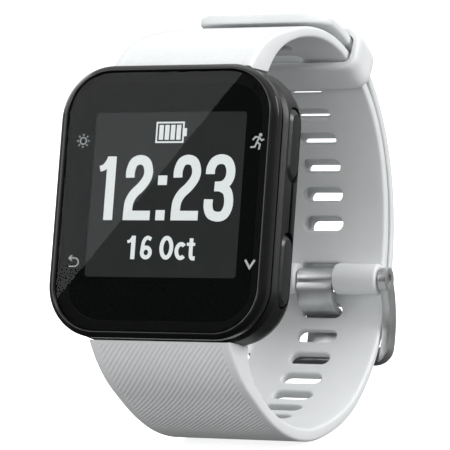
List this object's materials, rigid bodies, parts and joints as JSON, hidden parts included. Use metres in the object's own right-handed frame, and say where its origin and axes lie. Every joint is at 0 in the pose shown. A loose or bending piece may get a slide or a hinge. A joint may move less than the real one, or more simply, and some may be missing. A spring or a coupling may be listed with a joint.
{
  "type": "gps running watch",
  "caption": "Rounded-square running watch case with flat lens, side bar keys and heart-rate sensor, on a perforated silicone strap closed by a pin buckle and keeper.",
  "frame": {"origin": "middle of the flat back cover, on the plane that faces the wrist", "axes": "+X towards 3 o'clock, +Z towards 12 o'clock, +Y from the case towards the wrist and the buckle"},
  "size_m": [0.0356, 0.0642, 0.0661],
  "materials": {
    "case_polymer": "satin black moulded polymer",
    "bezel_gloss": "polished black",
    "lens_glass": "clear, polished",
    "mask_film": "printed black border",
    "seal_rubber": "black silicone seal",
    "lcd_glass": "dark grey reflective display",
    "light_guide": "translucent white",
    "inner_polymer": "moulded black",
    "flex_film": "amber polyimide",
    "circuit_board": "green solder mask",
    "chip_black": "moulded chip package",
    "shield_metal": "tinned sheet",
    "battery_foil": "pouch foil",
    "foam_pad": "black foam",
    "wire_red": "insulated wire",
    "sounder_brass": "brass disc",
    "antenna_ceramic": "fired ceramic",
    "screw_steel": "stainless",
    "sensor_glass": "dark optical plastic",
    "led_green": "green emitters",
    "contact_gold": "gold plated",
    "key_polymer": "satin charcoal",
    "strap_silicone": "cool white silicone with fine ribs near the case",
    "buckle_steel": "brushed stainless"
  },
  "bodies": {
    "case": {"case_housing": "case_polymer", "bezel_ring": "bezel_gloss", "lens": "lens_glass", "lens_mask": "mask_film", "lens_gasket": "seal_rubber", "lcd_panel": "lcd_glass", "backlight_guide": "light_guide", "display_carrier": "inner_polymer", "display_flex": "flex_film", "main_board": "circuit_board", "board_chips": "chip_black", "shield_can": "shield_metal", "battery": "battery_foil", "battery_pad": "foam_pad", "battery_lead": "wire_red", "vibration_motor": "shield_metal", "piezo_sounder": "sounder_brass", "gps_antenna": "antenna_ceramic", "bluetooth_antenna": "antenna_ceramic", "switch_flex_left": "flex_film", "switch_flex_right": "flex_film", "dome_switches": "shield_metal", "back_cover": "case_polymer", "back_cover_gasket": "seal_rubber", "back_cover_screws": "screw_steel", "sensor_window": "sensor_glass", "sensor_board": "circuit_board", "sensor_leds": "led_green", "photodiode": "chip_black", "light_barrier": "inner_polymer", "charging_contacts": "contact_gold", "button_seals": "seal_rubber", "strap_upper": "strap_silicone", "strap_lower": "strap_silicone", "strap_pin_upper": "screw_steel", "strap_pin_lower": "screw_steel", "buckle_pin": "screw_steel"},
    "button_light": {"button_light": "key_polymer", "button_clip_light": "screw_steel"},
    "button_back": {"button_back": "key_polymer", "button_clip_back": "screw_steel"},
    "button_run": {"button_run": "key_polymer", "button_clip_run": "screw_steel"},
    "button_down": {"button_down": "key_polymer", "button_clip_down": "screw_steel"},
    "keeper": {"strap_keeper": "strap_silicone"},
    "buckle_frame": {"buckle_frame": "buckle_steel"},
    "buckle_tongue": {"buckle_tongue": "buckle_steel"}
  },
  "joints": [
    {"name": "button_light_press", "type": "slide", "parent": "case", "child": "button_light", "axis": [1, 0, 0], "range_m": [0, 0.0004]},
    {"name": "button_back_press", "type": "slide", "parent": "case", "child": "button_back", "axis": [1, 0, 0], "range_m": [0, 0.0004]},
    {"name": "button_run_press", "type": "slide", "parent": "case", "child": "button_run", "axis": [-1, 0, 0], "range_m": [0, 0.0004]},
    {"name": "button_down_press", "type": "slide", "parent": "case", "child": "button_down", "axis": [-1, 0, 0], "range_m": [0, 0.0004]},
    {"name": "keeper_slide", "type": "hinge", "parent": "case", "child": "keeper", "pos_m": [0, 0.0194, 0.0015], "axis": [1, 0, 0], "range_deg": [-40, 8]},
    {"name": "buckle_frame_swing", "type": "hinge", "parent": "case", "child": "buckle_frame", "pos_m": [0, 0.0466, -0.003], "axis": [1, 0, 0], "range_deg": [0, 3]},
    {"name": "buckle_tongue_swing", "type": "hinge", "parent": "buckle_frame", "child": "buckle_tongue", "pos_m": [0, 0.0466, -0.003], "axis": [1, 0, 0], "range_deg": [0, 1.5]}
  ]
}
